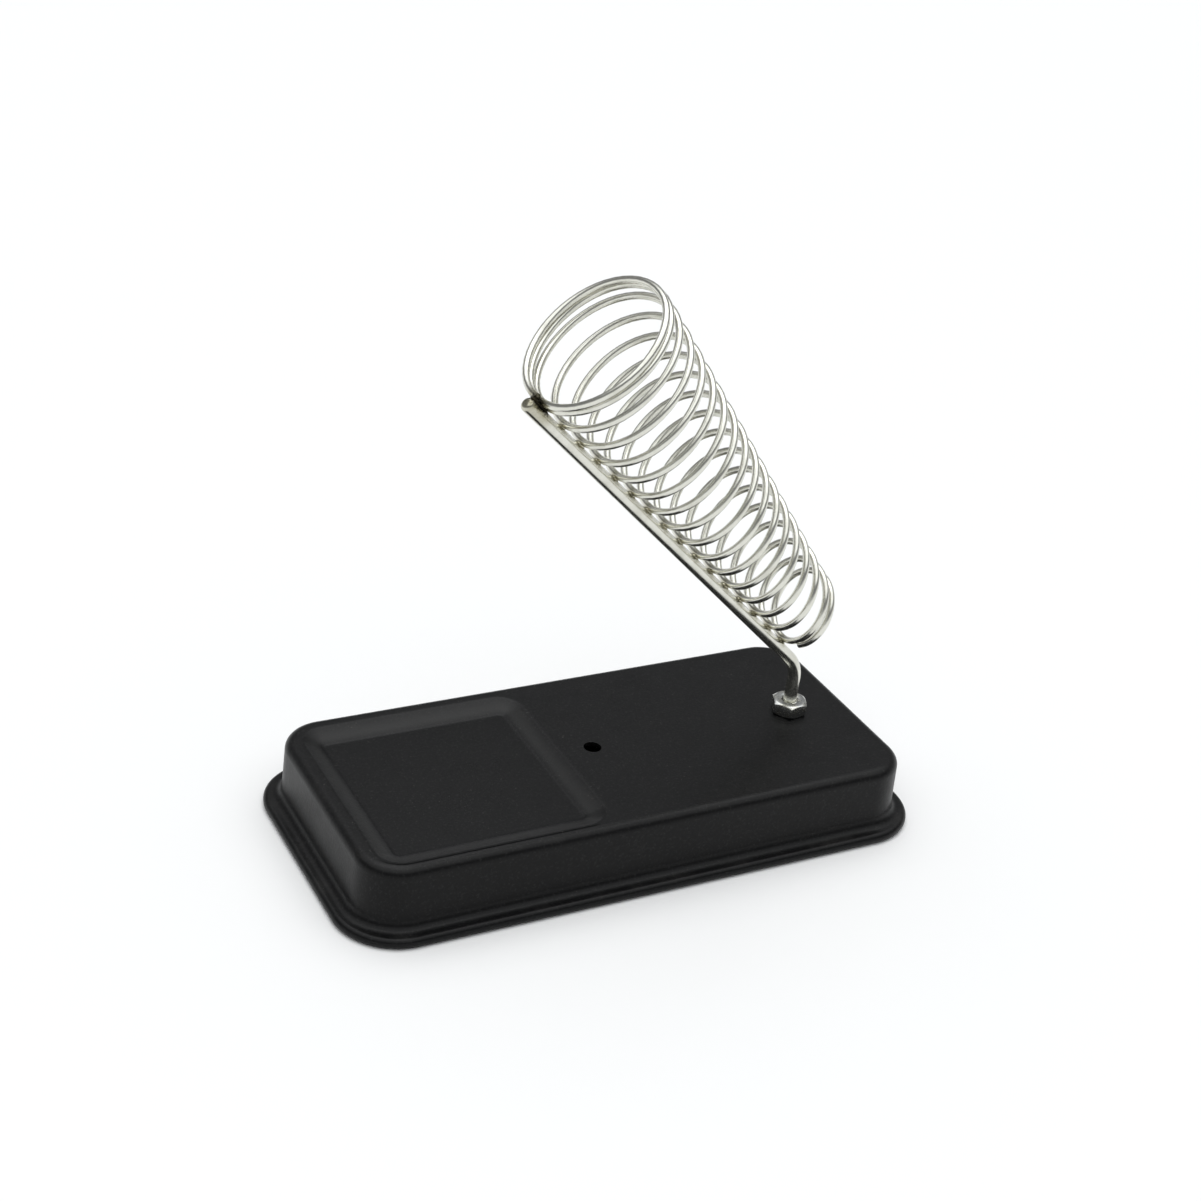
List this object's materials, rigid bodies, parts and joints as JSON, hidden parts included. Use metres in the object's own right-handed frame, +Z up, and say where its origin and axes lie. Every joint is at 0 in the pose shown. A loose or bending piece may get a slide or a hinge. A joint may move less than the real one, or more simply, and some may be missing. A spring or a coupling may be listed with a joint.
{
  "type": "soldering iron stand",
  "caption": "Desk stand for a soldering iron: pressed steel pan with a sponge tray and a tapered wire coil holder on a bent, clamped rod.",
  "frame": {"origin": "on the bench, at the middle of the pan's footprint", "axes": "+X along the pan from the sponge tray to the rod, +Y across the pan, +Z up"},
  "size_m": [0.16, 0.0774, 0.1469],
  "materials": {
    "black_paint": "semi-gloss black",
    "bright_nickel": "bright nickel plate",
    "zinc_plate": "bright zinc plate"
  },
  "bodies": {
    "base": {"base_pan": "black_paint"},
    "arm": {"support_rod": "bright_nickel", "coil_holder": "bright_nickel", "upper_nut": "zinc_plate", "under_washer": "zinc_plate", "lock_washer": "zinc_plate", "lower_nut": "zinc_plate"}
  },
  "joints": [
    {"name": "arm_swivel", "type": "hinge", "parent": "base", "child": "arm", "pos_m": [0.0569, 0, 0.019], "axis": [0, 0, 1], "continuous": true}
  ]
}
